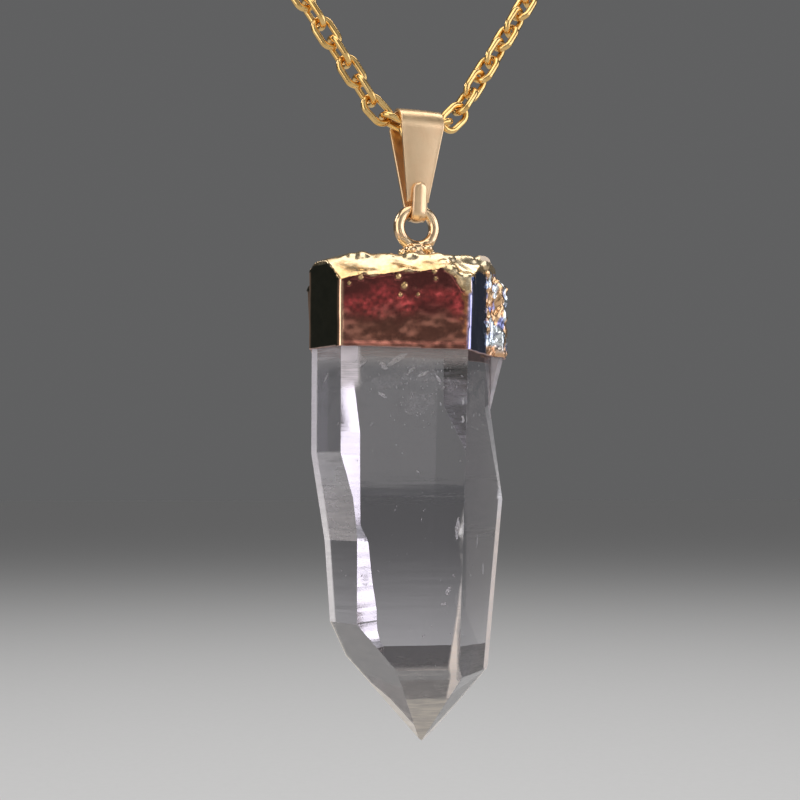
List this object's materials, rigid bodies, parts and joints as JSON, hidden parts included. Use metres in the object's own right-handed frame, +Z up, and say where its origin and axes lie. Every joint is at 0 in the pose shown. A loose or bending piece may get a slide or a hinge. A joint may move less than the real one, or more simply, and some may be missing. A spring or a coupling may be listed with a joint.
{
  "type": "crystal point pendant necklace",
  "caption": "Faceted quartz point in a copper-toned plated cap with a soldered eye, hung from a folded strip bail on a closed cable chain with a clasp at the nape.",
  "frame": {"origin": "The nape of the neck, the middle of the clasp, where the closed loop of chain rests", "axes": "+Z up, -Y towards the wearer's front where the pendant hangs, +X to the right as seen from the front"},
  "size_m": [0.1259, 0.1026, 0.1981],
  "materials": {
    "quartz": "polished, with veils and a frosted slope",
    "cap_plating": "mirror plating, red-brown faces and pale gold lumpy edges",
    "bail_gold": "satin",
    "chain_gold": "polished"
  },
  "bodies": {
    "chain": {"chain_left": "chain_gold", "chain_right": "chain_gold", "clasp": "chain_gold"},
    "bail": {"bail": "bail_gold"},
    "drop": {"cap": "cap_plating", "crystal": "quartz"}
  },
  "joints": [
    {"name": "bail_swing", "type": "hinge", "parent": "chain", "child": "bail", "pos_m": [0, -0.09231, -0.13405], "axis": [1, 0, 0], "range_deg": [-90, 90]},
    {"name": "drop_swing", "type": "hinge", "parent": "bail", "child": "drop", "pos_m": [0, -0.09231, -0.1444], "axis": [0, 1, 0], "range_deg": [-60, 60]}
  ]
}
